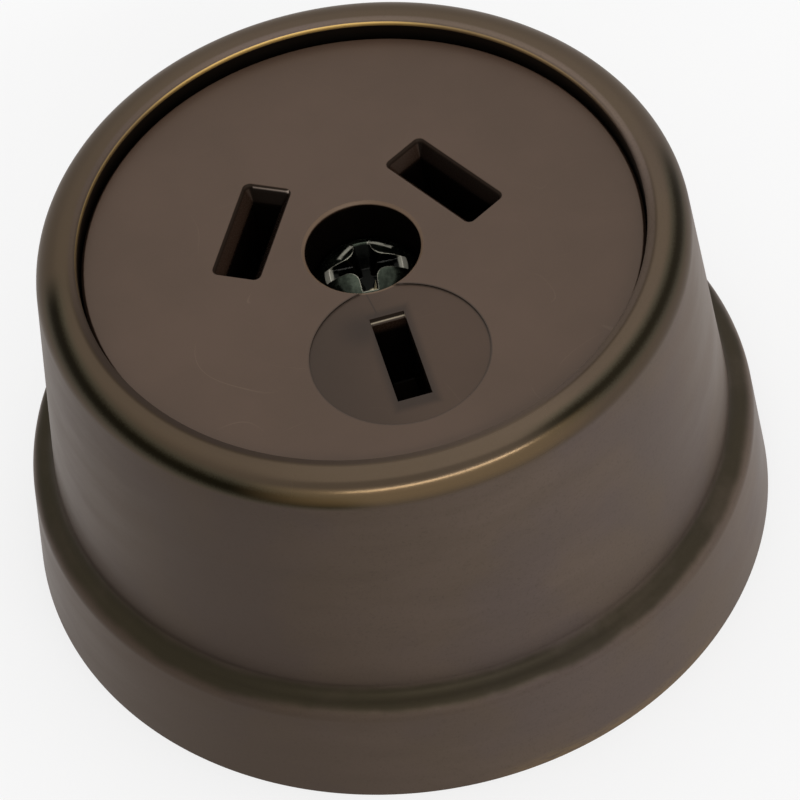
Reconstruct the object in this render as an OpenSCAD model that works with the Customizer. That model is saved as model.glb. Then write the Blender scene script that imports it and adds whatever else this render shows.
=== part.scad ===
// Round surface socket insert with three flat pin slots.
// A spun metal cover carries a moulded face cap, and one centre screw pulls both onto the base.
// The origin is the middle of the mounting face, +Z points out of the wall, +Y is up on the wall.

/* [Cover] */
// Diameter of the cover at its lower edge
skirt_d = 52.4; // [51.6:0.1:56]
// Diameter of the upper wall just above the step
waist_d = 48; // [47.2:0.1:49]
// Diameter at which the upper wall would meet the crest
crown_d = 44.8; // [44.2:0.1:46]
// Diameter of the opening in the top
opening_d = 39.1; // [37.5:0.1:39.6]
// Height from the mounting face to the crest of the lip
cover_h = 29; // [26:0.5:34]
// Height of the middle of the step
step_h = 8.7; // [7.5:0.1:11]
// Width of the step from the upper wall out to the skirt
step_w = 1.6; // [1:0.1:2]
// Fall of the step from its inner to its outer edge
step_fall = 0.5; // [0.3:0.05:0.9]
// Thickness of the sheet metal
sheet_t = 0.7; // [0.5:0.05:0.9]
// Radius of the outer shoulder under the crest
shoulder_r = 2; // [1.2:0.1:2.2]
// Radius of the lip at the edge of the opening
lip_r = 0.5; // [0.3:0.05:1.1]
// Radius of the hollow above the step
cove_r = 1; // [0.5:0.1:1.1]
// Radius of the step's outer shoulder
skirt_shoulder_r = 1.25; // [1:0.05:1.4]
// Inner radius of the fold that starts the cap's seat
seat_fold_r = 0.2; // [0.1:0.05:0.4]
// Diameter of the hole inside the cap's seat
seat_d = 34; // [33.4:0.1:35]

/* [Face cap] */
// Depth of the cap's face below the crest of the lip
face_drop = 1.4; // [1:0.1:2]
// Thickness of the cap at its rim
cap_t = 2.4; // [2:0.1:3]
// Chamfer round the cap's face
cap_chamfer = 0.2; // [0.1:0.05:0.4]
// Depth of the ring that centres the cap in its seat
spigot_h = 3; // [2:0.5:4]
// Wall of the centring ring
spigot_t = 1.5; // [1:0.1:2]
// Diameter of the well round the centre screw
well_d = 8; // [7.8:0.1:8.4]
// Depth of the well down to the seat of the screw's head
well_depth = 4.1; // [3.6:0.1:5]
// Chamfer round the mouth of the well
well_chamfer = 0.2; // [0.1:0.05:0.3]
// Wall of the boss round the well
boss_wall = 1.4; // [1.2:0.1:1.5]
// Length of the boss below the screw's head
boss_len = 7.1; // [6:0.1:8]
// Wall of the sleeves that guide the pins
sleeve_wall = 1.5; // [1.4:0.1:1.7]
// Length of the sleeves below the cap's plate
sleeve_h = 4.4; // [3.5:0.1:5]
// Diameter of the shallow round panel at the earth slot
panel_d = 12.3; // [11.5:0.1:12.5]
// Distance of the panel's middle from the centre
panel_offset = 10; // [9.6:0.1:10.4]
// Depth of the panel
panel_depth = 0.12; // [0.05:0.01:0.3]
// Thickness of the cap's stiffening ribs
rib_t = 1.2; // [0.8:0.1:1.6]

/* [Pin slots] */
// Distance of the two line slots from the centre
line_offset = 7.92; // [7.8:0.01:8.1]
// Angle of the line slots above the horizontal
line_angle = 30; // [28:1:32]
// Distance of the earth slot from the centre
earth_offset = 10.31; // [10.1:0.01:10.5]
// Width of a line slot
line_slot_t = 2.1; // [1.9:0.1:2.4]
// Length of a line slot
line_slot_w = 7; // [6.8:0.1:7.2]
// Width of the earth slot
earth_slot_t = 2.4; // [2:0.1:2.6]
// Length of the earth slot
earth_slot_w = 7.2; // [6.8:0.1:7.4]
// Width of the sloped mouth round a line slot
mouth_w = 0.7; // [0.4:0.05:0.9]
// Depth of the sloped mouth
mouth_depth = 1.1; // [0.6:0.1:1.8]
// Radius of the mouth's corners
mouth_r = 0.5; // [0.2:0.1:0.8]
// Chamfer at the inner end of the earth slot
earth_chamfer = 0.35; // [0.2:0.05:0.6]

/* [Base] */
// Clearance between the base and the cover, and between the cap and its seat
fit = 0.3; // [0.2:0.05:0.4]
// Clearance round the cap's rim
rim_fit = 0.15; // [0.1:0.05:0.25]
// Thickness of the base's floor, from the mounting face
floor_t = 4; // [3.6:0.1:5]
// Height of the insulating collar
collar_h = 16; // [13:0.5:18]
// Wall of the collar where the cover leaves it least room
collar_t = 1.3; // [1:0.05:1.4]
// Wall of the chambers that hold the contacts
chamber_wall = 1.2; // [1:0.1:1.4]
// Depth of the recess in the back
back_depth = 1.4; // [1.2:0.1:1.8]
// Diameter of the recess in the back
back_d = 42; // [40:0.5:44]
// Gap left between the cap's boss and the pillar, so that the screw clamps the cover
clamp_gap = 0.4; // [0.2:0.1:0.8]
// Diameter of the pillar round the bush
pillar_d = 9.2; // [8.4:0.1:10]
// Distance between the two mounting holes
mount_pitch = 30; // [29:0.5:31]
// Distance of the mounting holes below the centre
mount_drop = 9; // [8.5:0.5:10]
// Diameter of the mounting holes
mount_d = 4.2; // [3.6:0.1:4.8]
// Diameter of the bosses round the mounting holes
mount_boss_d = 10; // [9:0.5:10.5]
// Height of the mounting bosses
mount_boss_h = 6.5; // [5.5:0.5:7]
// Diameter of the cable entry
cable_d = 10; // [8:0.5:11]
// Distance of the cable entry above the centre
cable_offset = 15; // [14:0.5:15.5]
// Wall round the cable entry, in the recess
cable_wall = 1.2; // [1:0.1:1.5]

/* [Contacts and terminals] */
// Thickness of the contact strip
strip_t = 0.6; // [0.4:0.05:0.7]
// Width of a contact's leaves
contact_w = 5.6; // [5:0.1:6]
// Free gap between the leaves, a little under a pin's thickness
grip_gap = 1.3; // [1.1:0.05:1.5]
// Gap between the leaves at their flared tips
flare_gap = 2.8; // [2.4:0.1:3]
// Width of a contact over its root
root_w = 4.8; // [4.4:0.1:5]
// Height of the flare above the grip
flare_h = 3.5; // [2.5:0.5:4]
// Width of the foot that runs under the terminal
foot_w = 3.2; // [2.8:0.1:3.6]
// Width of a terminal block, along its wire hole
block_w = 6.4; // [5.6:0.1:6.6]
// Depth of a terminal block, away from the centre
block_d = 4.9; // [4.4:0.1:5.2]
// Height of a terminal block
block_h = 9; // [8:0.5:10]
// Chamfer on a terminal block's edges
block_chamfer = 0.4; // [0.2:0.1:0.6]
// Diameter of the wire hole
wire_d = 3.4; // [2.6:0.1:3.6]
// Height of the wire hole's middle in the block
wire_h = 4.4; // [4:0.1:4.8]
// Thickness of the strip that earths the cover
bond_t = 0.4; // [0.3:0.05:0.4]
// Width of the strip that earths the cover
bond_w = 3; // [2.4:0.1:3.4]
// Gap between the strip's tip and the cover
bond_gap = 0.1; // [0.05:0.01:0.2]
// Gap between the strip and the collar
collar_gap = 0.25; // [0.15:0.05:0.3]
// Gap between a terminal block and the strip
block_gap = 0.15; // [0.1:0.05:0.3]
// Height of the strip's tip above its crossing of the collar
bond_rise = 1.2; // [0.8:0.1:1.6]

/* [Fasteners] */
// Diameter of the centre screw's shank
screw_d = 4; // [3.6:0.1:4.2]
// Length of the centre screw below its head
screw_len = 18.5; // [16:0.5:22]
// Diameter of the centre screw's head
head_d = 7.2; // [6.6:0.1:7.6]
// Height of the centre screw's head
head_h = 2.6; // [2.2:0.1:3]
// Height of the straight edge of that head
head_edge_h = 0.8; // [0.5:0.1:1.2]
// Width of the driver slot across the head
driver_slot_t = 1; // [0.8:0.1:1.3]
// Depth of the driver slot
driver_slot_depth = 1.3; // [0.8:0.1:1.6]
// Length of the cross recess
cross_w = 4.9; // [4:0.1:5.2]
// Depth of the cross recess
cross_depth = 1.8; // [1.4:0.1:2]
// Angle at which the driver slot stands, from the horizontal
screw_turn = -5.6; // [-45:0.1:45]
// Outer diameter of the threaded bush
bush_d = 6; // [5.6:0.1:6.6]
// Thickness of the bush's flange
bush_flange_t = 0.6; // [0.4:0.1:0.8]
// Diameter of the bush's flange
bush_flange_d = 9; // [8:0.5:10]
// Thickness of the insulating disc in the back
disc_t = 0.6; // [0.4:0.1:0.7]
// Diameter of the washer that keeps the centre screw captive
washer_d = 7.6; // [6.5:0.1:8]
// Thickness of that washer
washer_t = 0.6; // [0.4:0.1:0.8]
// Diameter of the wire clamping screws
clamp_d = 3; // [2.6:0.1:3.2]
// Diameter of the wire clamping screws' heads
clamp_head_d = 4.4; // [4:0.1:4.8]
// Height of the wire clamping screws' heads
clamp_head_h = 1.8; // [1.4:0.1:2.2]
// Height at which those heads stand above their blocks
clamp_lift = 0.4; // [0.2:0.1:1]
// Height of those screws' tips above the middle of the wire hole
clamp_tip = 0.4; // [-1:0.1:1.2]
// Diameter of the screws that hold the terminals to the base
fixing_d = 2.5; // [2:0.1:2.6]
// Diameter of those screws' countersunk heads
fixing_head_d = 5; // [4.4:0.1:5.4]
// Length of thread of those screws in the terminal
fixing_grip = 1.6; // [1:0.1:2]

/* [Hidden] */

$fn = 96;
eps = 0.01;
over = 1;
far = 40;
slip = 0.1;
arc_steps = 8;
tiny_r = 0.05;
screw_end = 0.5;
bite = 0.5;
leaf_bend_r = 1;
root_bend_r = 0.3;
leaf_drop = 0.5;
washer_room = 0.2;
thread_room = 0.2;
bond_lift = 0.2;
clamp_slot_t = 0.8;
clamp_slot_depth = 0.9;
fixing_slot_t = 0.7;
fixing_slot_depth = 0.6;

active_angle = 180 - line_angle;
neutral_angle = line_angle;
earth_angle = 270;

skirt_top_d = waist_d + 2 * step_w;
face_z = cover_h - face_drop;
plate_z = face_z - cap_t;
panel_z = face_z - panel_depth;
screw_seat_z = face_z - well_depth;
boss_z = screw_seat_z - boss_len;
pillar_z = boss_z - clamp_gap;
sleeve_z = plate_z - sleeve_h;
chamber_z = sleeve_z - fit;
leaf_z = chamber_z - leaf_drop;

boss_d = well_d + 2 * boss_wall;
cap_d = opening_d - 2 * rim_fit;
spigot_d = seat_d - 2 * fit;
washer_recess_h = washer_t + washer_room;
chamber_t = root_w + 2 * fit;
line_chamber_w = line_slot_w + 2 * slip;
earth_chamber_w = earth_slot_w + 2 * slip;
block_z = floor_t + strip_t;
cheek_h = 3;
cheek_t = 1;

// Direction and left-hand normal of a stretch
function unit(v) = v / norm(v);
function left(v) = [-v[1], v[0]];
function cross2(a, b) = a[0] * b[1] - a[1] * b[0];

// Point at which two lines meet
function meet(p, u, q, v) = p + u * cross2(q - p, v) / cross2(u, v);

// Point at height z on the line through p and q
function at_height(p, q, z) = p + (q - p) * (z - p[1]) / (q[1] - p[1]);

// Signed angle by which a path turns at its point i
function turn(path, i) =
    let (u = path[i] - path[i - 1], v = path[i + 1] - path[i]) atan2(cross2(u, v), u * v);

// Path moved sideways to its left by d
function shifted(path, d) =
    let (last = len(path) - 1)
    [for (i = [0:last])
        let (
            u = unit(path[max(i, 1)] - path[max(i, 1) - 1]),
            v = unit(path[min(i, last - 1) + 1] - path[min(i, last - 1)])
        )
        i == 0 || i == last
            ? path[i] + d * left(u)
            : meet(path[i] + d * left(u), u, path[i] + d * left(v), v)];

// How far the bend at point i reaches along its stretches
function reach(path, radii, i) =
    i == 0 || i == len(path) - 1 ? 0 : radii[i] * tan(abs(turn(path, i)) / 2);

// Bend radii, made smaller where two bends would meet on one stretch
function limited(path, radii) =
    [for (i = [0:len(path) - 1])
        i == 0 || i == len(path) - 1 ? 0 : radii[i] * min(1,
            norm(path[i] - path[i - 1]) / (reach(path, radii, i - 1) + reach(path, radii, i) + eps),
            norm(path[i + 1] - path[i]) / (reach(path, radii, i) + reach(path, radii, i + 1) + eps))];

// Points of one bend
function bend(path, r, i) =
    let (
        a = turn(path, i),
        u = unit(path[i] - path[i - 1]),
        start = path[i] - u * r * tan(abs(a) / 2),
        middle = start + sign(a) * r * left(u),
        from = atan2(start[1] - middle[1], start[0] - middle[0])
    )
    [for (k = [0:arc_steps])
        let (at = from + a * k / arc_steps)
        middle + r * [cos(at), sin(at)]];

// Path with its corners bent to the given radii
function bent(path, radii) =
    let (last = len(path) - 1, r = limited(path, radii))
    [for (i = [0:last])
        each (i == 0 || i == last || r[i] < tiny_r / 2 ? [path[i]] : bend(path, r[i], i))];

// Radii on the other face of a sheet that lies to the left of the path
function other_radii(path, radii, t) =
    let (r = limited(path, radii))
    [for (i = [0:len(path) - 1])
        i == 0 || i == len(path) - 1 ? 0 : max(r[i] - sign(turn(path, i)) * t, tiny_r)];

function reversed(points) = [for (i = [len(points) - 1:-1:0]) points[i]];

// Section of a bent sheet of thickness t
function sheet(path, radii, t) =
    concat(bent(path, radii), reversed(bent(shifted(path, t), other_radii(path, radii, t))));

// Outer face of the cover, from the mounting face up, over the lip and down to the cap's seat
cover_path = [
    [skirt_d / 2, 0],
    [skirt_top_d / 2, step_h - step_fall / 2],
    [waist_d / 2, step_h + step_fall / 2],
    [crown_d / 2, cover_h],
    [opening_d / 2, cover_h],
    [opening_d / 2, plate_z],
    [seat_d / 2, plate_z]
];
cover_radii = [0, skirt_shoulder_r, cove_r, shoulder_r, lip_r, seat_fold_r, 0];

// Radius of the cover's inner wall at height z
function wall_inside(z) =
    let (inner = shifted(cover_path, sheet_t))
    at_height(inner[2], inner[3], z)[0];

// Inside of the collar, and from it the places of the bond strip and the terminals
collar_r = min(skirt_top_d / 2 - sheet_t, wall_inside(collar_h)) - fit - collar_t;
strip_x = collar_r - collar_gap;
foot_end = strip_x - bond_t - block_gap;
terminal_offset = foot_end - block_d / 2;

// A strip of width w whose section lies in the radial plane
module radial_strip(section, w) {
    rotate([90, 0, 0])
        linear_extrude(height = w, center = true)
            polygon(section);
}

// Puts a piece out along a direction seen from the centre
module toward(angle, offset = 0) {
    rotate(angle)
        translate([offset, 0, 0])
            children();
}

// Upright block of length d away from the centre and width w across
module upright(d, w, z0, z1) {
    translate([-d / 2, -w / 2, z0])
        cube([d, w, z1 - z0]);
}

// Round bar or hole between two heights
module bar(diameter, z0, z1) {
    translate([0, 0, z0])
        cylinder(d = diameter, h = z1 - z0);
}

// Rectangle with rounded corners, as a thin slab at height z
module slab(d, w, r, z) {
    hull()
        for (x = [-1, 1], y = [-1, 1])
            translate([x * (d / 2 - r), y * (w / 2 - r), z])
                cylinder(r = r, h = eps, $fn = 32);
}

// Cover: one spun sheet with a stepped skirt, a rolled lip and an inner seat for the cap
module cover_shell() {
    inner = bent(shifted(cover_path, sheet_t), other_radii(cover_path, cover_radii, sheet_t));
    lower_edge = at_height(inner[0], inner[1], 0);
    inner_up = [for (i = [1:len(inner) - 1]) inner[i]];
    color("#584b42")
        rotate_extrude()
            polygon(concat(bent(cover_path, cover_radii), reversed(inner_up), [lower_edge]));
}

// Sloped mouth that leads a pin into a line slot
module slot_mouth() {
    hull() {
        slab(line_slot_t, line_slot_w, tiny_r, face_z - mouth_depth);
        slab(line_slot_t + 2 * mouth_w, line_slot_w + 2 * mouth_w, mouth_r, face_z);
    }
}

// Rib under the cap, from the boss to the centring ring
module cap_rib(angle) {
    rotate(angle)
        translate([boss_d / 2 - bite, -rib_t / 2, plate_z - spigot_h])
            cube([spigot_d / 2 - spigot_t - boss_d / 2 + 2 * bite, rib_t, spigot_h + eps]);
}

// Plate of the cap, chamfered round its face and where it sits in the fold of the seat
module cap_plate() {
    foot_chamfer = seat_fold_r + slip;
    rotate_extrude()
        polygon([[0, plate_z], [cap_d / 2 - foot_chamfer, plate_z], [cap_d / 2, plate_z + foot_chamfer],
            [cap_d / 2, face_z - cap_chamfer], [cap_d / 2 - cap_chamfer, face_z], [0, face_z]]);
}

// Face cap: plate, screw boss, pin sleeves and centring ring in one moulding
module face_cap() {
    color("#5a4d44")
        difference() {
            union() {
                cap_plate();
                bar(boss_d, boss_z, plate_z + eps);
                difference() {
                    bar(spigot_d, plate_z - spigot_h, plate_z + eps);
                    bar(spigot_d - 2 * spigot_t, plate_z - spigot_h - eps, plate_z);
                }
                for (a = [active_angle, neutral_angle])
                    toward(a, line_offset)
                        upright(line_slot_t + 2 * sleeve_wall, line_slot_w + 2 * sleeve_wall, sleeve_z,
                            plate_z + eps);
                toward(earth_angle, earth_offset)
                    upright(earth_slot_w + 2 * sleeve_wall, earth_slot_t + 2 * sleeve_wall, sleeve_z,
                        plate_z + eps);
                for (a = [0, 90, 180])
                    cap_rib(a);
            }
            for (a = [active_angle, neutral_angle])
                toward(a, line_offset) {
                    upright(line_slot_t, line_slot_w, sleeve_z - over, face_z + over);
                    slot_mouth();
                }
            toward(earth_angle, earth_offset)
                upright(earth_slot_w, earth_slot_t, sleeve_z - over, face_z + over);
            toward(earth_angle, earth_offset - earth_slot_w / 2)
                radial_strip([[-earth_chamfer, panel_z], [over, panel_z - earth_chamfer - over],
                    [over, face_z]], earth_slot_t);
            toward(earth_angle, panel_offset)
                bar(panel_d, panel_z, face_z + over);
            bar(well_d, screw_seat_z, face_z + over);
            translate([0, 0, face_z - well_chamfer])
                cylinder(d1 = well_d, d2 = well_d + 2 * well_chamfer, h = well_chamfer + eps);
            bar(screw_d + 2 * slip, boss_z - over, face_z);
            bar(washer_d + 2 * slip, boss_z - over, boss_z + washer_recess_h);
        }
}

// Chamber for one contact, closed on three sides and slit on the terminal's side
module chamber(offset, d, w) {
    difference() {
        toward(0, offset)
            upright(d + 2 * chamber_wall, w + 2 * chamber_wall, floor_t - eps, chamber_z);
        toward(0, offset)
            upright(d, w, floor_t - over, far);
        translate([offset, -foot_w / 2 - fit, floor_t - over])
            cube([d / 2 + chamber_wall + over, foot_w + 2 * fit, far]);
    }
}

// Low cheeks that keep a terminal block from turning
module cheeks() {
    for (side = [-1, 1])
        translate([terminal_offset - block_d / 2, side * (block_w / 2 + fit + cheek_t / 2) - cheek_t / 2,
            floor_t - eps])
            cube([collar_r - terminal_offset + block_d / 2 - 2 * slip, cheek_t, cheek_h]);
}

// Hole and countersink for the screw that holds a terminal
module fixing_hole() {
    toward(0, terminal_offset) {
        bar(fixing_d + 2 * slip, -over, floor_t + over);
        fixing_head(slip);
    }
}

// Countersunk head, with room round it where it is cut
module fixing_head(room) {
    translate([0, 0, back_depth - room / 2])
        cylinder(d1 = fixing_head_d + 2 * room, d2 = fixing_d + 2 * room,
            h = (fixing_head_d - fixing_d) / 2 + room / 2);
}

// Base: moulded disc that fills the skirt, with collar, pillar, contact chambers and mounting bosses
module base() {
    outer_path = shifted(cover_path, sheet_t + fit);
    outer = bent(outer_path, other_radii(cover_path, cover_radii, sheet_t + fit));
    corner_points = 2 * (arc_steps + 1);
    flank = [for (i = [1:corner_points]) outer[i]];
    foot = at_height(outer[0], outer[1], 0);
    rim_top = at_height(outer_path[2], outer_path[3], collar_h);
    color("#2b2521")
        difference() {
            union() {
                rotate_extrude()
                    polygon(concat([[0, 0], foot], flank, [rim_top, [collar_r, collar_h],
                        [collar_r, floor_t], [0, floor_t]]));
                bar(pillar_d, floor_t - eps, pillar_z);
                for (a = [active_angle, neutral_angle])
                    rotate(a)
                        chamber(line_offset, chamber_t, line_chamber_w);
                rotate(earth_angle)
                    chamber(earth_offset, earth_chamber_w, chamber_t);
                for (a = [active_angle, neutral_angle, earth_angle])
                    rotate(a)
                        cheeks();
                for (x = [-1, 1])
                    translate([x * mount_pitch / 2, -mount_drop, 0])
                        bar(mount_boss_d, floor_t - eps, mount_boss_h);
            }
            for (a = [active_angle, neutral_angle, earth_angle])
                rotate(a)
                    fixing_hole();
            bar(boss_d + 2 * fit, pillar_z, far);
            bar(bush_d, -over, far);
            back_recess(0);
            for (x = [-1, 1])
                translate([x * mount_pitch / 2, -mount_drop, 0])
                    bar(mount_d, -over, far);
            toward(90, cable_offset)
                bar(cable_d, -over, floor_t + over);
        }
}

// Space in the back of the base, left full round the mounting holes and the cable entry
module back_recess(room) {
    difference() {
        bar(back_d - 2 * room, -over, back_depth);
        for (x = [-1, 1])
            translate([x * mount_pitch / 2, -mount_drop, 0])
                bar(mount_boss_d + 2 * room, -far, far);
        toward(90, cable_offset)
            bar(cable_d + 2 * cable_wall + 2 * room, -far, far);
    }
}

// Insulating disc: fills the recess behind the live screws
module insulating_disc() {
    color("#8a4a33")
        intersection() {
            difference() {
                back_recess(fit);
                bar(bush_d + 2 * slip, -over, far);
            }
            bar(back_d, back_depth - disc_t, back_depth);
        }
}

// Bush: threaded brass insert whose flange holds the insulating disc
module threaded_bush() {
    color("#b8934a")
        difference() {
            union() {
                bar(bush_d - 2 * slip, back_depth - disc_t - eps, pillar_z);
                bar(bush_flange_d, back_depth - disc_t - bush_flange_t, back_depth - disc_t);
            }
            bar(screw_d + slip, -over, far);
        }
}

// Washer: grips the shank under the boss and keeps the centre screw in the cap
module captive_washer() {
    color("#9a9a96")
        difference() {
            bar(washer_d, boss_z + washer_recess_h - washer_t, boss_z + washer_recess_h);
            bar(screw_d + slip, -over, far);
        }
}

// Centre screw: domed head with a driver slot and a cross recess
module centre_screw() {
    dome_h = head_h - head_edge_h;
    dome_r = (pow(head_d / 2, 2) + pow(dome_h, 2)) / (2 * dome_h);
    top_z = screw_seat_z + head_h;
    color("#a9a79c")
        rotate(screw_turn)
            difference() {
                union() {
                    bar(head_d, screw_seat_z, screw_seat_z + head_edge_h);
                    intersection() {
                        translate([0, 0, top_z - dome_r])
                            sphere(r = dome_r);
                        bar(head_d, screw_seat_z + head_edge_h - eps, far);
                    }
                    bar(screw_d, screw_seat_z - screw_len + screw_end, screw_seat_z + eps);
                    translate([0, 0, screw_seat_z - screw_len])
                        cylinder(d1 = screw_d - 2 * screw_end, d2 = screw_d, h = screw_end);
                }
                upright(head_d + over, driver_slot_t, top_z - driver_slot_depth, top_z + over);
                for (a = [0, 90])
                    rotate(a)
                        radial_strip([[-cross_w / 2, top_z + over],
                            [-cross_w / 2, top_z - driver_slot_depth],
                            [0, top_z - cross_depth], [cross_w / 2, top_z - driver_slot_depth],
                            [cross_w / 2, top_z + over]], driver_slot_t);
            }
}

// Spring contact in section: two leaves that close on the pin and flare open at their tips
function leaf_section() =
    let (
        grip = grip_gap / 2 + strip_t,
        flare = flare_gap / 2 + strip_t,
        root = root_w / 2,
        grip_z = leaf_z - flare_h
    )
    sheet([[-flare, leaf_z], [-grip, grip_z], [-root, floor_t], [root, floor_t], [grip, grip_z],
        [flare, leaf_z]], [0, leaf_bend_r, strip_t + root_bend_r, strip_t + root_bend_r, leaf_bend_r, 0],
        strip_t);

// Flat foot that runs from a contact to its terminal
module foot(from) {
    difference() {
        translate([from, -foot_w / 2, floor_t])
            cube([foot_end - from, foot_w, strip_t]);
        toward(0, terminal_offset)
            bar(fixing_d + 2 * slip, 0, far);
    }
}

// Line contact: its foot is cut out of the outer leaf, which keeps two fingers beside the gap
module line_contact(angle) {
    foot_from = line_offset + root_w / 2 - strip_t - bite;
    color("#c9a25a")
        rotate(angle) {
            difference() {
                toward(0, line_offset)
                    radial_strip(leaf_section(), contact_w);
                translate([foot_from, -foot_w / 2, floor_t - eps])
                    cube([root_w, foot_w, foot_end - foot_from]);
            }
            foot(foot_from - eps);
        }
}

// Earth contact: its leaves lie along the pin's direction from the centre
module earth_contact() {
    color("#c9a25a")
        rotate(earth_angle) {
            toward(0, earth_offset)
                rotate(90)
                    radial_strip(leaf_section(), contact_w);
            foot(earth_offset);
        }
}

// Terminal block with its wire hole and the two screw holes
module terminal(angle, z) {
    d = block_d / 2;
    c = block_chamfer;
    color("#b8934a")
        toward(angle, terminal_offset)
            difference() {
                radial_strip([[-d, z], [d, z], [d, z + block_h - c], [d - c, z + block_h],
                    [c - d, z + block_h], [-d, z + block_h - c]], block_w);
                translate([0, 0, z + wire_h])
                    rotate([90, 0, 0])
                        cylinder(d = wire_d, h = block_w + over, center = true);
                bar(clamp_d + slip, z + wire_h, z + block_h + over);
                bar(fixing_d + slip, z - over, z + fixing_grip + thread_room);
            }
}

// Screw that clamps the wire, with a slotted head that stands clear of the block
module clamp_screw(angle, z) {
    head_z = z + block_h + clamp_lift;
    color("#b9b7ae")
        toward(angle, terminal_offset)
            difference() {
                union() {
                    bar(clamp_d, z + wire_h + clamp_tip, head_z + eps);
                    bar(clamp_head_d, head_z, head_z + clamp_head_h);
                }
                upright(clamp_head_d + over, clamp_slot_t, head_z + clamp_head_h - clamp_slot_depth,
                    far);
            }
}

// Countersunk screw from the back that holds the terminal, its contact and the base together
module fixing_screw(angle, z) {
    color("#b9b7ae")
        toward(angle, terminal_offset)
            difference() {
                union() {
                    fixing_head(0);
                    bar(fixing_d, back_depth + eps, z + fixing_grip);
                }
                upright(fixing_head_d + over, fixing_slot_t, back_depth - over,
                    back_depth + fixing_slot_depth);
            }
}

// Strip that runs from under the earth terminal over the collar to the inside of the cover
module earth_bond_strip() {
    lift_z = collar_h + bond_lift;
    tip_z = lift_z + bond_rise;
    section = sheet([[foot_end - block_d, block_z], [strip_x, block_z], [strip_x, lift_z],
        [wall_inside(tip_z) - bond_gap, tip_z]], [0, bond_t + tiny_r, bond_t + bond_lift, 0], bond_t);
    color("#c9a25a")
        rotate(earth_angle)
            difference() {
                radial_strip(section, bond_w);
                toward(0, terminal_offset)
                    bar(fixing_d + 2 * slip, 0, far);
            }
}

cover_shell();
face_cap();
base();
centre_screw();
captive_washer();
threaded_bush();
insulating_disc();
line_contact(active_angle);  // active_contact
line_contact(neutral_angle);  // neutral_contact
earth_contact();
terminal(active_angle, block_z);  // active_terminal
terminal(neutral_angle, block_z);  // neutral_terminal
terminal(earth_angle, block_z + bond_t);  // earth_terminal
clamp_screw(active_angle, block_z);  // active_clamp_screw
clamp_screw(neutral_angle, block_z);  // neutral_clamp_screw
clamp_screw(earth_angle, block_z + bond_t);  // earth_clamp_screw
fixing_screw(active_angle, block_z);  // active_fixing_screw
fixing_screw(neutral_angle, block_z);  // neutral_fixing_screw
fixing_screw(earth_angle, block_z + bond_t);  // earth_fixing_screw
earth_bond_strip();
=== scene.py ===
"""Looks of a round surface socket insert: spun bronze cover, brown moulded face, plated centre screw."""

import math

import bmesh
import bpy
from mathutils import Matrix, Vector


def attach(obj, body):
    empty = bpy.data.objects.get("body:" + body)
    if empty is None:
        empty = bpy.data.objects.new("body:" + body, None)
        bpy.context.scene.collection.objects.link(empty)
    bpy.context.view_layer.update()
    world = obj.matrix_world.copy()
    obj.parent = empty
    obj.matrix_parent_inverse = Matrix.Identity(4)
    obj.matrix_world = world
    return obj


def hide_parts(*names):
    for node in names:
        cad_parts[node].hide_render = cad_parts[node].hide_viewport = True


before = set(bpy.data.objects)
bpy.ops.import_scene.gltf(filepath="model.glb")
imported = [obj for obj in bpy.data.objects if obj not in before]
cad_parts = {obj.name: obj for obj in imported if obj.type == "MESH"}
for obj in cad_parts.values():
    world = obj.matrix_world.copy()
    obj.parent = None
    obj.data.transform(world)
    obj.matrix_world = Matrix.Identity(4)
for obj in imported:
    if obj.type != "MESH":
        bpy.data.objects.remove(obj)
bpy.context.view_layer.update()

MM = 0.001

# Section of the cover in millimetres, from the foot up over the lip and down to the cap's seat
SHEET = 0.7
COVER_PATH = [(26.2, 0), (25.6, 8.45), (24, 8.95), (22.4, 29), (19.55, 29), (19.55, 25.2), (17, 25.2)]
COVER_RADII = [0, 1.25, 1, 2, 0.35, 0.2, 0]
SHOULDER_START = 27
FACE_Z = 27.6
WELL_R = 4.1
PANEL_MIDDLE = (0, -10)
PANEL_R = 6.15

# Head of the centre screw in millimetres
HEAD_R = 3.6
HEAD_BOTTOM = 23.5
HEAD_EDGE = 0.8
HEAD_TOP = 26.1
DOME_H = HEAD_TOP - HEAD_BOTTOM - HEAD_EDGE
DOME_R = (HEAD_R ** 2 + DOME_H ** 2) / (2 * DOME_H)
SHANK_R = 2
SHANK_END = 5
SCREW_TURN = -5.6


def unit(v):
    return v.normalized()


def left(v):
    return Vector((-v.y, v.x))


def cross2(a, b):
    return a.x * b.y - a.y * b.x


def shifted(path, d):
    """The path moved sideways to its left by d."""
    out = []
    for i, p in enumerate(path):
        u = unit(path[max(i, 1)] - path[max(i, 1) - 1])
        j = min(i, len(path) - 2)
        v = unit(path[j + 1] - path[j])
        if i in (0, len(path) - 1):
            out.append(p + d * left(u))
        else:
            a, b = p + d * left(u), p + d * left(v)
            out.append(a + u * cross2(b - a, v) / cross2(u, v))
    return out


def turn(path, i):
    u, v = path[i] - path[i - 1], path[i + 1] - path[i]
    return math.atan2(cross2(u, v), u.dot(v))


def bent(path, radii, steps):
    """The path with its corners bent to the given radii."""
    out = []
    for i, p in enumerate(path):
        if not radii[i]:
            out.append(p)
            continue
        a, u = turn(path, i), unit(path[i] - path[i - 1])
        start = p - u * radii[i] * math.tan(abs(a) / 2)
        middle = start + math.copysign(radii[i], a) * left(u)
        first = math.atan2(start.y - middle.y, start.x - middle.x)
        for k in range(steps + 1):
            t = first + a * k / steps
            out.append(middle + radii[i] * Vector((math.cos(t), math.sin(t))))
    return out


def split_long(points, longest):
    """The section with its long stretches divided."""
    out = []
    for p, q in zip(points, points[1:] + points[:1]):
        n = max(1, math.ceil((q - p).length / longest))
        out += [p.lerp(q, k / n) for k in range(n)]
    return out


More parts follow.
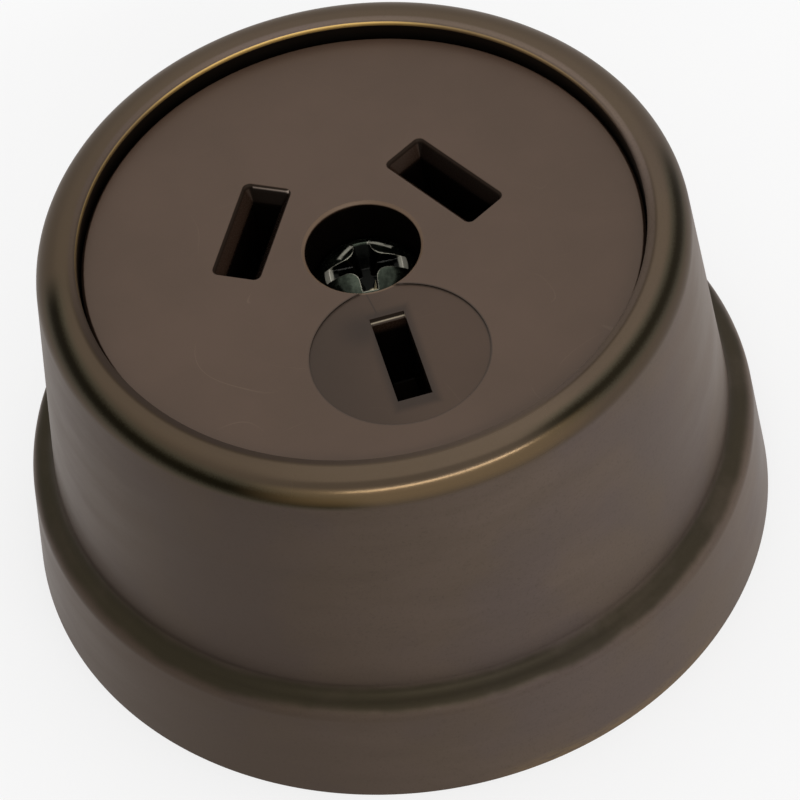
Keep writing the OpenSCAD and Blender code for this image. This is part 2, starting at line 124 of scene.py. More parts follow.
def cover_section():
    path = [Vector(p) for p in COVER_PATH]
    inner_radii = [r and max(r - math.copysign(SHEET, turn(path, i)), 0.05)
                   for i, r in enumerate(COVER_RADII)]
    outer = bent(path, COVER_RADII, 12)
    inner = bent(shifted(path, SHEET), inner_radii, 12)
    inner[0] = Vector((inner[0].x, 0))
    return split_long(outer + inner[::-1], 2)


def as_object(name, bm, sharp=35):
    """A shown piece, smooth except at its sharp edges."""
    bmesh.ops.recalc_face_normals(bm, faces=bm.faces)
    for face in bm.faces:
        face.smooth = True
    for edge in bm.edges:
        edge.smooth = edge.calc_face_angle(0) < math.radians(sharp)
    mesh = bpy.data.meshes.new(name)
    bm.to_mesh(mesh)
    bm.free()
    obj = bpy.data.objects.new(name, mesh)
    bpy.context.scene.collection.objects.link(obj)
    return obj


def spun(bm, section, segments, closed=True):
    """A section of radii and heights in millimetres, turned about the axis."""
    rings = []
    for k in range(segments):
        a = 2 * math.pi * k / segments
        rings.append([bm.verts.new((p[0] * math.cos(a) * MM, p[0] * math.sin(a) * MM, p[1] * MM))
                      for p in section])
    count = len(section)
    for k in range(segments):
        a, b = rings[k], rings[(k + 1) % segments]
        for i in range(count if closed else count - 1):
            j = (i + 1) % count
            bm.faces.new((a[i], b[i], b[j], a[j]))
    return rings


def cross_outline(reach, half, corner, steps=6):
    """Plan of the driver recess: a cross whose inner corners are rounded."""
    points = []
    for quarter in range(4):
        turned = Matrix.Rotation(quarter * math.pi / 2, 2)
        arm = [Vector((reach, -half)), Vector((reach, half))]
        middle = Vector((half + corner, half + corner))
        arc = [middle + corner * Vector((-math.sin(t), -math.cos(t)))
               for t in (k * math.pi / 2 / steps for k in range(steps + 1))]
        points += [turned @ p for p in arm + arc]
    return points


def lofted(bm, levels):
    """Skins through outlines of equal count; levels holds (outline, height) pairs in millimetres."""
    rings = [[bm.verts.new((p.x * MM, p.y * MM, z * MM)) for p in outline] for outline, z in levels]
    count = len(rings[0])
    for low, high in zip(rings, rings[1:]):
        for i in range(count):
            j = (i + 1) % count
            bm.faces.new((low[i], low[j], high[j], high[i]))
    bm.faces.new(rings[0][::-1])
    bm.faces.new(rings[-1])
    bmesh.ops.triangulate(bm, faces=[f for f in bm.faces if len(f.verts) > 4])


def cut(obj, cutters):
    """The object's mesh with the cutters taken out of it."""
    for cutter in cutters:
        step = obj.modifiers.new("cut", "BOOLEAN")
        step.operation, step.solver, step.object = "DIFFERENCE", "EXACT", cutter
    graph = bpy.context.evaluated_depsgraph_get()
    done = bpy.data.meshes.new_from_object(obj.evaluated_get(graph))
    obj.modifiers.clear()
    obj.data = done
    for cutter in cutters:
        bpy.data.objects.remove(cutter)
    bm = bmesh.new()
    bm.from_mesh(done)
    bmesh.ops.remove_doubles(bm, verts=bm.verts, dist=2e-7)
    for face in bm.faces:
        face.smooth = True
    for edge in bm.edges:
        edge.smooth = edge.calc_face_angle(0) < math.radians(30)
    bm.to_mesh(done)
    bm.free()


def colour(r, g, b):
    """A colour written as 0 to 255 on the screen, in linear light."""
    def linear(c):
        c /= 255
        return c / 12.92 if c <= 0.04045 else ((c + 0.055) / 1.055) ** 2.4
    return linear(r), linear(g), linear(b), 1


class Shader:
    """A material and short ways to add its nodes."""

    def __init__(self, name):
        self.material = bpy.data.materials.new(name)
        self.material.use_nodes = True
        self.tree = self.material.node_tree
        self.tree.nodes.clear()

    def add(self, kind, inputs=None, **settings):
        made = self.tree.nodes.new(kind)
        for name, value in settings.items():
            setattr(made, name, value)
        for name, value in (inputs or {}).items():
            if isinstance(value, bpy.types.NodeSocket):
                self.tree.links.new(value, made.inputs[name])
            else:
                made.inputs[name].default_value = value
        return made

    def math(self, operation, *values):
        return self.add("ShaderNodeMath", dict(enumerate(values)), operation=operation).outputs[0]

    def vector(self, x, y, z):
        return self.add("ShaderNodeCombineXYZ", {0: x, 1: y, 2: z}).outputs[0]

    def place(self):
        """Object coordinates in millimetres, as (vector, x, y, z, radius)."""
        here = self.add("ShaderNodeTexCoord").outputs["Object"]
        mm = self.add("ShaderNodeVectorMath", {0: here, "Scale": 1000}, operation="SCALE").outputs[0]
        xyz = self.add("ShaderNodeSeparateXYZ", {0: mm}).outputs
        radius = self.math("SQRT", self.math("ADD", self.math("MULTIPLY", xyz[0], xyz[0]),
                                             self.math("MULTIPLY", xyz[1], xyz[1])))
        return mm, xyz[0], xyz[1], xyz[2], radius

    def noise(self, vector, scale, detail=4, rough=0.55, distortion=0):
        return self.add("ShaderNodeTexNoise", {"Vector": vector, "Scale": scale, "Detail": detail,
                        "Roughness": rough, "Distortion": distortion}).outputs[0]

    def band(self, value, low, high, to_low=0.0, to_high=1.0):
        """Smooth step from to_low to to_high while value goes from low to high."""
        return self.add("ShaderNodeMapRange", {0: value, 1: low, 2: high, 3: to_low, 4: to_high},
                        interpolation_type="SMOOTHSTEP").outputs[0]

    def mix(self, factor, a, b, blend="MIX"):
        made = self.add("ShaderNodeMix", {0: factor, 6: a, 7: b}, data_type="RGBA", blend_type=blend)
        return made.outputs[2]

    def bump(self, height, strength, distance, normal=None):
        inputs = {"Height": height, "Strength": strength, "Distance": distance * MM}
        if normal:
            inputs["Normal"] = normal
        return self.add("ShaderNodeBump", inputs).outputs[0]

    def rounded(self, radius):
        """Normal that rounds edges by a radius in millimetres."""
        return self.add("ShaderNodeBevel", {"Radius": radius * MM}, samples=6).outputs[0]

    def finish(self, **inputs):
        names = {key.replace("_", " "): value for key, value in inputs.items()}
        shader = self.add("ShaderNodeBsdfPrincipled", names)
        self.add("ShaderNodeOutputMaterial", {"Surface": shader.outputs[0]})
        return self.material


def toward(s, x, y, degrees):
    """How far a place lies in the direction of an angle."""
    a = math.radians(degrees)
    return s.math("ADD", s.math("MULTIPLY", x, math.cos(a)), s.math("MULTIPLY", y, math.sin(a)))


def product(s, first, *others):
    for other in others:
        first = s.math("MULTIPLY", first, other)
    return first


def bronze_material():
    """Spun bronze with a dark patina, brushed round the axis, with painted shade on its left side and inside the lip,
    painted dark reflections on the shoulder's sides and in the cove, a painted gold highlight on the lip, and gold on
    the shoulder's front and the foot that is partly wear, partly painted highlight.
    """
    s = Shader("aged_bronze")
    mm, x, y, z, r = s.place()
    round_x, round_y = s.math("DIVIDE", x, r), s.math("DIVIDE", y, r)
    along = s.math("ADD", z, s.math("MULTIPLY", r, 0.8))
    fine = s.noise(s.vector(s.math("MULTIPLY", round_x, 26), s.math("MULTIPLY", round_y, 26),
                            s.math("MULTIPLY", along, 9)), 1, 5, 0.7)
    broad = s.noise(s.vector(s.math("MULTIPLY", round_x, 2.5), s.math("MULTIPLY", round_y, 2.5),
                             s.math("MULTIPLY", along, 0.5)), 1, 4, 0.6)
    mottle = s.noise(mm, 0.16, 5, 0.6, 0.3)
    blotch = s.noise(mm, 1.6, 4, 0.7)
    grit = s.noise(mm, 5, 3, 0.65)
    grain = s.noise(mm, 9, 3, 0.7)

    base = s.mix(s.band(broad, 0.3, 0.7), colour(90, 77, 67), colour(98, 84, 74))
    base = s.mix(s.math("MULTIPLY", s.band(mottle, 0.4, 0.7), 0.45), base, colour(92, 79, 66))
    base = s.mix(product(s, s.band(s.noise(mm, 0.1, 3, 0.5), 0.45, 0.65), 0.4), base, colour(84, 74, 74))
    base = s.mix(s.math("MULTIPLY", s.band(fine, 0.42, 0.7), 0.24), base, colour(98, 86, 76))
    base = s.mix(s.math("MULTIPLY", s.band(grit, 0.5, 0.75), 0.26), base, colour(54, 46, 37))
    # Painted shade: the left side of the cover is darkened.
    painted_shade_left = s.band(toward(s, round_x, round_y, 192), -0.2, 1)
    base = s.mix(s.math("MULTIPLY", painted_shade_left, 0.7), base, colour(48, 37, 27))

    on_top = product(s, s.band(z, SHOULDER_START, SHOULDER_START + 0.6), s.band(r, 20, 20.2))
    tilt = s.math("ARCSINE", s.math("MULTIPLY", s.math("SUBTRACT", z, SHOULDER_START), 0.4999))
    base = s.mix(product(s, on_top, 0.7), base, colour(70, 58, 43))
    inside = s.band(r, 20.15, 19.9)
    back = s.band(toward(s, round_x, round_y, 95), 0.0, 0.6)
    glow = s.band(toward(s, round_x, round_y, 92), 0.8, 0.97, 0.3, 0.9)
    # Painted shade: a near-black band on the inner wall of the lip.
    base = s.mix(product(s, inside, s.band(z, 28.64, 28.56), 0.93), base, colour(18, 14, 8))
    # Painted highlight: a gold line on the lip's inner edge, only at the back.
    base = s.mix(product(s, inside, s.band(z, 28.6, 28.66), s.band(z, 28.92, 28.87), back, glow), base,
                 colour(204, 168, 98))

    # Painted dark reflections: near-black bands with an olive fringe on the shoulder's left and right sides.
    ragged = s.band(grain, 0.35, 0.65, -0.035, 0.035)
    lean = s.math("ADD", s.math("MULTIPLY", round_y, 0.73), 1.06)
    off_left = s.math("ADD", s.math("ABSOLUTE", s.math("SUBTRACT", tilt, lean)), ragged)
    off_right = s.math("ADD", s.math("ABSOLUTE", s.math("SUBTRACT", tilt, 0.95)), ragged)
    side_left = s.band(toward(s, round_x, round_y, 214), 0.7, 0.82)
    side_right = s.band(toward(s, round_x, round_y, 324), 0.74, 0.9)
    fringe_left = product(s, s.band(off_left, 0.55, 0.2), side_left)
    fringe_right = product(s, s.band(off_right, 0.45, 0.2), side_right)
    dark_reflection_left = product(s, s.band(off_left, 0.38, 0.04), side_left)
    dark_reflection_right = product(s, s.band(off_right, 0.3, 0.04), side_right, 0.85)
    stain_and_dark_reflection = product(s, on_top, s.math("MAXIMUM", dark_reflection_left, dark_reflection_right))
    fringe = product(s, on_top, s.math("MAXIMUM", fringe_left, fringe_right), s.band(grain, 0.3, 0.6, 0.5, 1))
    base = s.mix(product(s, fringe, 0.6), base, colour(46, 48, 34))
    base = s.mix(product(s, stain_and_dark_reflection, 0.93), base, colour(15, 12, 5))

    # Painted highlight: a gold halo under the shoulder's highlight at the front; the same front mask also makes the
    # shoulder smoother there.
    wear_and_highlight = s.band(toward(s, round_x, round_y, 268), 0.8, 0.98)
    painted_halo = product(s, on_top, wear_and_highlight, s.band(tilt, 0.95, 0.75), s.band(tilt, 0.1, 0.5))
    base = s.mix(product(s, painted_halo, 0.5), base, colour(116, 94, 64))

    edge = s.band(broad, 0.3, 0.7, -0.15, 0.15)
    height = s.math("ADD", z, edge)
    # Dark olive band over the cove and the top of the skirt: patina in the step, with painted dark reflection.
    cove = product(s, s.band(height, 8.1, 8.6), s.band(height, 9.8, 9.0), s.band(mottle, 0.25, 0.5, 0.8, 1))
    base = s.mix(product(s, cove, 0.8), base, colour(35, 32, 17))
    # Lighter brass at the foot towards the front right: partly wear, partly painted highlight.
    foot = product(s, s.band(z, 1.2, 0.1), s.band(toward(s, round_x, round_y, 292), 0.9, 0.99), s.band(fine, 0.3, 0.6))
    base = s.mix(product(s, foot, 0.4), base, colour(140, 116, 76))

    rough = s.band(broad, 0.2, 0.8, 0.38, 0.46)
    rough = s.math("SUBTRACT", rough, product(s, on_top, wear_and_highlight, 0.22))
    rough = s.math("ADD", rough, product(s, s.band(r, 20.4, 20.1), s.band(toward(s, round_x, round_y, 268), -0.3, 0.3), 0.45))
    rough = s.math("ADD", rough, product(s, cove, 0.12))
    normal = s.bump(s.math("ADD", fine, grit), 0.1, 0.012)
    tangent = s.add("ShaderNodeTangent", direction_type="RADIAL", axis="Z").outputs[0]
    return s.finish(Base_Color=base, Metallic=s.band(stain_and_dark_reflection, 0, 1, 0.85, 1),
                    Specular_Tint=colour(246, 240, 236), Roughness=rough, Anisotropic=0.2, Tangent=tangent,
                    Normal=normal)


def near_point(s, x, y, at, low, high):
    """1 at a point of the face, falling to 0 at the distance high."""
    dx, dy = s.math("SUBTRACT", x, at[0]), s.math("SUBTRACT", y, at[1])
    distance = s.math("SQRT", s.math("ADD", s.math("MULTIPLY", dx, dx), s.math("MULTIPLY", dy, dy)))
    return s.band(distance, high, low)


def near_line(s, x, y, start, end, low, high):
    """1 on a straight stretch of the face, falling to 0 at the distance high."""
    length = math.dist(start, end)
    ux, uy = (end[0] - start[0]) / length, (end[1] - start[1]) / length
    dx, dy = s.math("SUBTRACT", x, start[0]), s.math("SUBTRACT", y, start[1])
    run = s.math("ADD", s.math("MULTIPLY", dx, ux), s.math("MULTIPLY", dy, uy))
    aside = s.math("ABSOLUTE", s.math("SUBTRACT", s.math("MULTIPLY", dy, ux), s.math("MULTIPLY", dx, uy)))
    over = s.math("MAXIMUM", s.math("MULTIPLY", run, -1), s.math("SUBTRACT", run, length))
    return s.band(s.math("MAXIMUM", aside, over), high, low)


def scratches(s, mm, scale, width, seed):
    """Thin wandering lines, where a smooth noise crosses its middle."""
    moved = s.add("ShaderNodeVectorMath", {0: mm, 1: (seed, seed * 2.3, 0)}, operation="ADD").outputs[0]
    field = s.noise(moved, scale, 0, 0, 0.3)
    line = s.band(s.math("ABSOLUTE", s.math("SUBTRACT", field, 0.5)), width, 0)
    return s.math("MULTIPLY", line, s.band(s.noise(moved, scale * 1.7, 1, 0.5), 0.5, 0.62))


def face_material():
    """Brown moulding with a satin gloss, handling marks and fine scratches, with painted shade in the slots, the well
    and on the chamfers, and painted highlights on the well's rim and at edges of the slots.
    """
    s = Shader("brown_moulding")
    mm, x, y, z, r = s.place()
    cloud = s.noise(mm, 0.12, 4, 0.6)
    grain = s.noise(mm, 9, 3, 0.7)
    base = s.mix(s.band(cloud, 0.3, 0.7), colour(68, 51, 40), colour(74, 56, 45))
    base = s.mix(s.math("MULTIPLY", s.band(grain, 0.3, 0.8), 0.12), base, colour(88, 72, 60))
    on_face = s.band(z, FACE_Z - 0.3, FACE_Z - 0.2)
    marks = s.math("MAXIMUM", scratches(s, mm, 0.09, 0.0016, 3.0), scratches(s, mm, 0.16, 0.0022, 11.0))
    low = s.band(toward(s, x, y, 225), -6, 8, 0.3, 1)
    base = s.mix(product(s, marks, on_face, low, 0.35), base, colour(112, 94, 80))
    on_panel = product(s, near_point(s, x, y, PANEL_MIDDLE, PANEL_R - 0.06, PANEL_R + 0.02), on_face, 0.45)
    base = panel_shade(s, base, x, y, on_face)
    # Painted highlight: a warm light line round the well's rim.
    rim = product(s, s.band(s.math("ABSOLUTE", s.math("SUBTRACT", r, WELL_R)), 0.14, 0.04), on_face)
    base = s.mix(product(s, rim, 0.45), base, colour(132, 108, 86))
    lit = near_line(s, x, y, (-5.75, 7.95), (-3.6, 6.72), 0.03, 0.12)
    base = s.mix(product(s, lit, s.band(z, FACE_Z - 0.5, FACE_Z - 0.3), 0.8), base, colour(190, 172, 158))

    # Painted highlight: a light line along the inner end of the earth slot.
    brass_and_highlight = near_line(s, x, y, (-1.15, -6.7), (1.15, -6.7), 0.12, 0.2)
    # Painted shade: everything more than about 0.2 mm below the face is darkened.
    hollow = s.band(z, FACE_Z - 0.16, FACE_Z - 0.32)
    base = s.mix(product(s, hollow, 0.9), base, colour(38, 26, 19))
    # The painted highlight at the earth slot's inner end.
    base = s.mix(product(s, brass_and_highlight, s.band(z, FACE_Z - 0.4, FACE_Z - 0.32), s.band(z, FACE_Z - 0.12, FACE_Z - 0.16), 0.85), base, colour(184, 170, 146))
    deep = s.band(z, FACE_Z - 0.8, FACE_Z - 1.5)
    normals = s.add("ShaderNodeSeparateXYZ", {0: s.add("ShaderNodeNewGeometry").outputs["Normal"]}).outputs
    unlit = product(s, hollow, s.band(normals[0], 0.05, -0.15), s.band(brass_and_highlight, 1, 0))
    # Painted shade: the chamfers round the line slots are darkened.
    chamfer = product(s, s.band(normals[2], 0.98, 0.9), s.band(z, FACE_Z - 0.01, FACE_Z - 0.04),
                      s.band(z, FACE_Z - 0.34, FACE_Z - 0.28),
                      s.band(r, WELL_R + 0.3, WELL_R + 0.5), s.band(brass_and_highlight, 1, 0), s.band(lit, 1, 0))
    base = s.mix(product(s, chamfer, 0.85), base, colour(26, 19, 14))
    base = s.mix(product(s, unlit, 0.92), base, colour(16, 11, 8))
    # Painted shade: the well's wall and everything deep in the slots turn near-black.
    in_well = product(s, s.band(r, WELL_R + 0.2, WELL_R + 0.05), s.band(z, FACE_Z - 0.15, FACE_Z - 0.5))
    base = s.mix(product(s, s.math("MAXIMUM", deep, in_well), 0.97), base, colour(7, 5, 4))
    rough = s.band(grain, 0.2, 0.8, 0.36, 0.46)
    rough = s.math("SUBTRACT", rough, product(s, hollow, 0.14))
    height = s.math("ADD", s.math("MULTIPLY", grain, 0.25), s.math("MULTIPLY", marks, -0.4))
    normal = s.bump(height, 0.12, 0.02, s.rounded(0.1))
    gloss = s.math("MULTIPLY", s.band(s.math("MAXIMUM", deep, in_well), 0, 1, 1, 0.1), s.band(s.math("ADD", s.math("ADD", hollow, on_panel), s.math("ADD", unlit, chamfer)), 0, 1.5, 0.36, 0.03))
    return s.finish(Base_Color=base, Roughness=rough, Specular_IOR_Level=gloss,
                    Specular_Tint=colour(255, 239, 222), Normal=normal)


def panel_shade(s, base, x, y, on_face):
    """The face's colour with the darker round panel, its seam and darkening round the earth slot."""
    panel = product(s, near_point(s, x, y, PANEL_MIDDLE, PANEL_R - 0.06, PANEL_R + 0.02), on_face)
    darker = s.band(toward(s, x, y, 0), -6, 3, 1, 0.4)
    base = s.mix(product(s, panel, darker, 0.72), base, colour(28, 17, 10))
    dx, dy = s.math("SUBTRACT", x, PANEL_MIDDLE[0]), s.math("SUBTRACT", y, PANEL_MIDDLE[1])
    outward = s.math("SQRT", s.math("ADD", s.math("MULTIPLY", dx, dx), s.math("MULTIPLY", dy, dy)))
    # Dark line round the panel's edge: the joint of the panel, with painted shade that grows towards the upper right.
    ring = s.band(s.math("ABSOLUTE", s.math("SUBTRACT", outward, PANEL_R)), 0.14, 0.03)
    turned = s.band(toward(s, dx, dy, 55), -4, 5, 0.3, 0.85)
    base = s.mix(product(s, ring, turned, on_face), base, colour(34, 24, 18))
    seam = near_line(s, x, y, (-0.85, -3.9), (-0.6, -5.9), 0.02, 0.08)
    seam = s.math("MAXIMUM", seam, near_line(s, x, y, (-0.6, -5.9), (-1.1, -6.8), 0.02, 0.08))
    base = s.mix(product(s, seam, on_face, 0.8), base, colour(30, 20, 15))
    # Darker round the earth slot, most at its upper left.
    darker_near_slot = s.math("MAXIMUM", near_point(s, x, y, (-1.9, -7.1), 0.2, 2.4),
                  near_line(s, x, y, (0, -7.4), (0, -13.2), 1.2, 1.9))
    return s.mix(product(s, darker_near_slot, on_face, 0.85), base, colour(30, 19, 14))


def moulding_material():
    """Near-black moulding of the base, matt with mould grain."""
    s = Shader("dark_moulding")
    mm, x, y, z, r = s.place()
    cloud = s.noise(mm, 0.15, 5, 0.6)
    grain = s.noise(mm, 7, 4, 0.7)
    base = s.mix(s.band(cloud, 0.3, 0.7), colour(44, 37, 32), colour(58, 49, 42))
    base = s.mix(s.math("MULTIPLY", s.band(grain, 0.45, 0.8), 0.3), base, colour(78, 68, 60))
    rough = s.band(grain, 0.2, 0.8, 0.45, 0.62)
    normal = s.bump(grain, 0.25, 0.03, s.rounded(0.15))
    return s.finish(Base_Color=base, Roughness=rough, Normal=normal)


def metal_material(name, dark, light, roughness, radius=0.12, metallic=0.95, stain_and_dark_reflection=None):
    """Plated or rolled metal with fine drawing marks, stains and rounded edges."""
    s = Shader(name)
    mm, x, y, z, r = s.place()
    cloud = s.noise(mm, 0.9, 5, 0.65)
    streak = s.noise(s.vector(s.math("MULTIPLY", x, 9), s.math("MULTIPLY", y, 9), z), 1, 4, 0.6)
    base = s.mix(s.band(cloud, 0.3, 0.7), colour(*dark), colour(*light))
    if stain_and_dark_reflection:
        base = s.mix(s.math("MULTIPLY", s.band(cloud, 0.55, 0.75), 0.6), base, colour(*stain_and_dark_reflection))
    rough = s.band(streak, 0.25, 0.75, roughness * 0.8, roughness * 1.25)
    normal = s.bump(streak, 0.15, 0.015, s.rounded(radius))
    return s.finish(Base_Color=base, Metallic=metallic, Roughness=rough, Normal=normal)


def screw_material():
    """Dark plating with painted highlights on its edges, partly worn plating, on the ramps at the ends of the driver
    slot, as crescents and as a glint, and painted shade in the recess.
    """
    s = Shader("screw_plating")
    mm, x, y, z, r = s.place()
    cloud = s.noise(mm, 0.9, 5, 0.65)
    base = s.mix(s.band(cloud, 0.3, 0.7), colour(30, 34, 28), colour(64, 70, 60))
    base = s.mix(product(s, s.band(cloud, 0.55, 0.75), 0.6), base, colour(44, 38, 24))
    run = s.math("ABSOLUTE", toward(s, x, y, SCREW_TURN))
    aside = s.math("ABSOLUTE", toward(s, x, y, SCREW_TURN + 90))
    ramp = product(s, s.band(run, 2.15, 2.35), s.band(run, 3.35, 3.15), s.band(aside, 0.6, 0.52),
                   s.band(z, HEAD_TOP - 1.1, HEAD_TOP - 1))
    # Painted highlight: light patches on the ramps at the ends of the driver slot.
    base = s.mix(product(s, ramp, 0.8), base, colour(176, 172, 158))
    smooth = s.rounded(0.11)
    plain = s.add("ShaderNodeNewGeometry").outputs["Normal"]
    same = s.add("ShaderNodeVectorMath", {0: smooth, 1: plain}, operation="DOT_PRODUCT").outputs["Value"]
    # Light edges: worn plating, with painted highlight.
    wear_and_highlight = product(s, s.band(same, 0.99, 0.88), s.band(cloud, 0.35, 0.6, 0.4, 1), s.band(y, 2.2, 1.7))
    base = s.mix(product(s, wear_and_highlight, 0.8), base, colour(196, 190, 172))
    dome = s.math("SQRT", s.math("SUBTRACT", DOME_R ** 2, s.math("MULTIPLY", r, r)))
    sunk = s.math("SUBTRACT", s.math("ADD", dome, HEAD_TOP - DOME_R), z)
    shaded = product(s, s.band(sunk, 0.06, 0.25), s.band(ramp, 0, 1, 1, 0))
    base = s.mix(product(s, shaded, 0.97), base, colour(5, 5, 4))
    glint = product(s, near_point(s, x, y, (0.2, -1.4), 0.3, 0.7), s.band(z, 25.2, 25))
    base = s.mix(product(s, glint, 0.9), base, colour(236, 222, 182))
    # Painted highlights: two crescents on the far side of the recess.
    crescent = s.math("MAXIMUM", near_line(s, x, y, (-1.45, 1.25), (-0.6, 1.95), 0.08, 0.3),
                      near_line(s, x, y, (0.85, 2), (2, 1.3), 0.08, 0.3))
    crescent = product(s, crescent, s.band(sunk, 0.25, 0.1), s.band(cloud, 0.3, 0.5, 0.4, 1))
    base = s.mix(product(s, crescent, 0.8), base, colour(196, 192, 176))
    lit = s.math("MAXIMUM", s.math("MAXIMUM", ramp, glint), s.math("MAXIMUM", crescent, product(s, wear_and_highlight, 0.6)))
    normal = s.bump(cloud, 0.3, 0.05, smooth)
    return s.finish(Base_Color=base, Metallic=s.band(lit, 0, 1, 0.95, 0.25), Roughness=s.band(cloud, 0.3, 0.7, 0.16, 0.3), Normal=normal)


def fibre_material():
    """Red-brown vulcanised fibre with short fibres in its surface."""
    s = Shader("vulcanised_fibre")
    mm, x, y, z, r = s.place()
    fibres = s.noise(s.vector(s.math("MULTIPLY", x, 1.2), s.math("MULTIPLY", y, 7), z), 1, 5, 0.7)
    cloud = s.noise(mm, 0.3, 4, 0.6)
    base = s.mix(s.band(fibres, 0.3, 0.7), colour(112, 62, 46), colour(142, 86, 64))
    base = s.mix(s.math("MULTIPLY", s.band(cloud, 0.45, 0.75), 0.4), base, colour(92, 54, 42))
    normal = s.bump(fibres, 0.3, 0.03)
    return s.finish(Base_Color=base, Roughness=s.band(fibres, 0.2, 0.8, 0.6, 0.78), Normal=normal)


def make_cover():
    bm = bmesh.new()
    spun(bm, cover_section(), 288)
    cover = as_object("cover_body", bm)
    cover.data.materials.append(bronze_material())
    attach(cover, "root")
    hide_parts("cover_shell")


def screw_section():
    """Head with a rounded rim and a low dome, then the shank down to its chamfered end."""
    steps = 20
    dome = []
    for k in range(steps + 1):
        radius = HEAD_R * (1 - k / steps)
        dome.append((radius, HEAD_TOP - DOME_R + math.sqrt(DOME_R ** 2 - radius ** 2)))
    return [(0, SHANK_END), (SHANK_R - 0.5, SHANK_END), (SHANK_R, SHANK_END + 0.5),
            (SHANK_R, HEAD_BOTTOM), (HEAD_R - 0.15, HEAD_BOTTOM), (HEAD_R, HEAD_BOTTOM + 0.15)] + dome


def make_screw():
    bm = bmesh.new()
    spun(bm, screw_section(), 96, closed=False)
    bmesh.ops.remove_doubles(bm, verts=bm.verts, dist=1e-7)
    screw = as_object("screw_body", bm)
    recess = bmesh.new()
    lofted(recess, [(cross_outline(1.1, 0.3, 0.2), HEAD_TOP - 2.1), (cross_outline(2.2, 0.55, 0.75), HEAD_TOP - 0.6),
                    (cross_outline(2.75, 0.7, 1.0), HEAD_TOP + 0.4)])
    groove = bmesh.new()
    half, depth = 0.55, 1.0
    rising = [Vector((-4, 1.5)), Vector((-4, 0.2)), Vector((-3.2, -0.35)), Vector((-2.2, -depth)),
              Vector((2.2, -depth)), Vector((3.2, -0.35)), Vector((4, 0.2)), Vector((4, 1.5))]
    sides = [[groove.verts.new((p.x * MM, w * MM, (HEAD_TOP + p.y) * MM)) for p in rising] for w in (-half, half)]
    for i in range(len(rising)):
        j = (i + 1) % len(rising)
        groove.faces.new((sides[0][i], sides[0][j], sides[1][j], sides[1][i]))
    groove.faces.new(sides[0])
    groove.faces.new(sides[1][::-1])
    cut(screw, [as_object("recess", recess), as_object("groove", groove)])
    screw.data.transform(Matrix.Rotation(math.radians(SCREW_TURN), 4, "Z"))
    screw.data.materials.append(screw_material())
    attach(screw, "root")
    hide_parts("centre_screw")


def dress_nodes():
    """Gives every CAD node that stays its material."""
    steel = metal_material("plated_steel", (150, 148, 138), (186, 184, 174), 0.28)
    brass_and_highlight = metal_material("terminal_brass", (160, 124, 62), (196, 160, 92), 0.3, stain_and_dark_reflection=(120, 88, 44))
    spring = metal_material("spring_bronze", (168, 120, 66), (206, 160, 96), 0.24, 0.06, stain_and_dark_reflection=(110, 74, 44))
    finish = {"brown_moulding": face_material(), "dark_moulding": moulding_material(), "plated_steel": steel,
              "terminal_brass": brass_and_highlight, "spring_bronze": spring, "vulcanised_fibre": fibre_material()}
    for name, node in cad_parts.items():
        slot = node_slot(name)
        if slot in finish:
            node.data.materials.clear()
            node.data.materials.append(finish[slot])


def node_slot(name):
    """The slot of a CAD node, by what it is."""
    ends = {"face_cap": "brown_moulding", "base": "dark_moulding", "insulating_disc": "vulcanised_fibre",
            "threaded_bush": "terminal_brass", "captive_washer": "plated_steel", "earth_bond_strip": "spring_bronze"}
    if name in ends:
        return ends[name]
    for part, slot in (("contact", "spring_bronze"), ("terminal", "terminal_brass"), ("screw", "plated_steel")):
        if name.endswith(part):
            return slot
    return None


def seen_directly(s):
    """1 for what the camera sees, also in a reflection or through glass."""
    path = s.add("ShaderNodeLightPath").outputs
    return s.math("MAXIMUM", path["Is Camera Ray"],
                  s.math("MAXIMUM", path["Is Glossy Ray"], path["Is Transmission Ray"]))


def floor_material():
    """White floor that keeps the object's shadow and lets the view from below through."""
    s = Shader("floor")
    seen = seen_directly(s)
    plain = s.add("ShaderNodeBsdfDiffuse", {"Color": (0.8, 0.8, 0.8, 1)}).outputs[0]
    pale = s.add("ShaderNodeBsdfDiffuse", {"Color": (1, 1, 1, 1)}).outputs[0]
    glow = s.add("ShaderNodeEmission", {"Color": (1, 1, 1, 1), "Strength": 1}).outputs[0]
    shown = s.add("ShaderNodeMixShader", {0: 0.3, 1: glow, 2: pale}).outputs[0]
    top = s.add("ShaderNodeMixShader", {0: seen, 1: plain, 2: shown}).outputs[0]
    clear = s.add("ShaderNodeBsdfTransparent").outputs[0]
    under = s.add("ShaderNodeNewGeometry").outputs["Backfacing"]
    both = s.add("ShaderNodeMixShader", {0: under, 1: top, 2: clear}).outputs[0]
    s.add("ShaderNodeOutputMaterial", {"Surface": both})
    return s.material


def make_floor():
    """A wide flat ring whose hole is hidden under the base."""
    bm = bmesh.new()
    spun(bm, [(25, -0.02), (60, -0.02), (2500, -0.02)], 64, closed=False)
    floor = as_object("floor", bm)
    if floor.data.polygons[0].normal.z < 0:
        floor.data.flip_normals()
    floor.data.materials.append(floor_material())


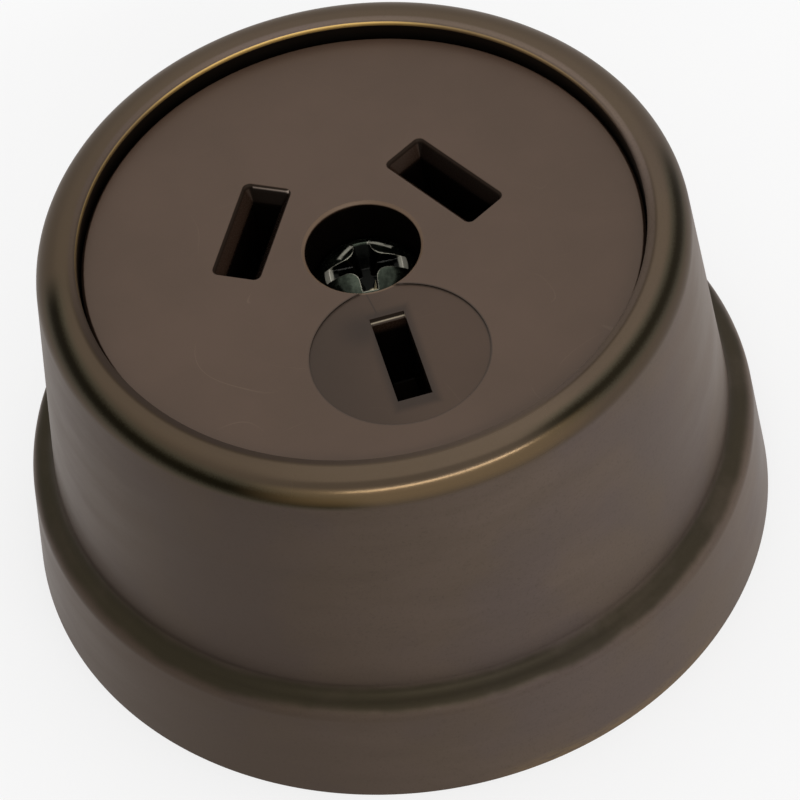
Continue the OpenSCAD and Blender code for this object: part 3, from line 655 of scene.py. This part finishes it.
def make_world():
    world = bpy.data.worlds.new("studio")
    bpy.context.scene.world = world
    world.use_nodes = True
    tree = world.node_tree
    tree.nodes.clear()
    path = tree.nodes.new("ShaderNodeLightPath")
    seen = tree.nodes.new("ShaderNodeMath")
    seen.operation = "MAXIMUM"
    tree.links.new(path.outputs["Is Camera Ray"], seen.inputs[0])
    either = tree.nodes.new("ShaderNodeMath")
    either.operation = "MAXIMUM"
    tree.links.new(path.outputs["Is Glossy Ray"], either.inputs[0])
    tree.links.new(path.outputs["Is Transmission Ray"], either.inputs[1])
    tree.links.new(either.outputs[0], seen.inputs[1])
    strength = tree.nodes.new("ShaderNodeMapRange")
    tree.links.new(seen.outputs[0], strength.inputs[0])
    strength.inputs[3].default_value = 0.55
    strength.inputs[4].default_value = 1.0
    glow = tree.nodes.new("ShaderNodeBackground")
    glow.inputs["Color"].default_value = (1, 1, 1, 1)
    tree.links.new(strength.outputs[0], glow.inputs["Strength"])
    out = tree.nodes.new("ShaderNodeOutputWorld")
    tree.links.new(glow.outputs[0], out.inputs["Surface"])


def make_lamp(name, direction, distance, size, power):
    """A soft lamp of a width and a height that points at the object's face."""
    data = bpy.data.lights.new(name, "AREA")
    data.shape, data.energy = "RECTANGLE", power
    data.size, data.size_y = size
    lamp = bpy.data.objects.new(name, data)
    away = unit(Vector(direction))
    lamp.location = away * distance + Vector((0, 0, 20 * MM))
    lamp.rotation_mode = "QUATERNION"
    lamp.rotation_quaternion = away.to_track_quat("Z", "Y")
    bpy.context.scene.collection.objects.link(lamp)


def make_camera():
    """The camera of the photograph: its view of the face's middle, tilt and distance."""
    azimuth, elevation, roll = (math.radians(a) for a in (-7.93, 50.39, -9.08))
    distance, aside, above, lens = 409.5, -2.56, -10.46, 270
    back = Vector((math.sin(azimuth) * math.cos(elevation), -math.cos(azimuth) * math.cos(elevation),
                   math.sin(elevation)))
    level = Vector((math.cos(azimuth), math.sin(azimuth), 0))
    upward = back.cross(level)
    right = math.cos(roll) * level + math.sin(roll) * upward
    up = -math.sin(roll) * level + math.cos(roll) * upward
    where = Vector((0, 0, FACE_Z)) + distance * back - aside * right + above * up
    data = bpy.data.cameras.new("camera")
    data.sensor_width, data.lens = 36, lens
    data.clip_start, data.clip_end = 0.01, 20
    camera = bpy.data.objects.new("camera", data)
    axes = Matrix((right, up, back)).transposed().to_4x4()
    camera.matrix_world = Matrix.Translation(where * MM) @ axes
    bpy.context.scene.collection.objects.link(camera)
    bpy.context.scene.camera = camera


make_camera()
make_world()
make_floor()
make_lamp("lamp_top", (0.05, 0.3, 1), 0.7, (0.8, 0.8), 1.4)
make_lamp("lamp_strip", (0.06, -0.76, 0.65), 0.8, (0.7, 0.07), 1.4)
make_lamp("lamp_right", (1, -0.25, 0.5), 0.9, (0.6, 0.6), 0.3)
make_cover()
make_screw()
dress_nodes()

bpy.context.scene.view_settings.view_transform = "Standard"
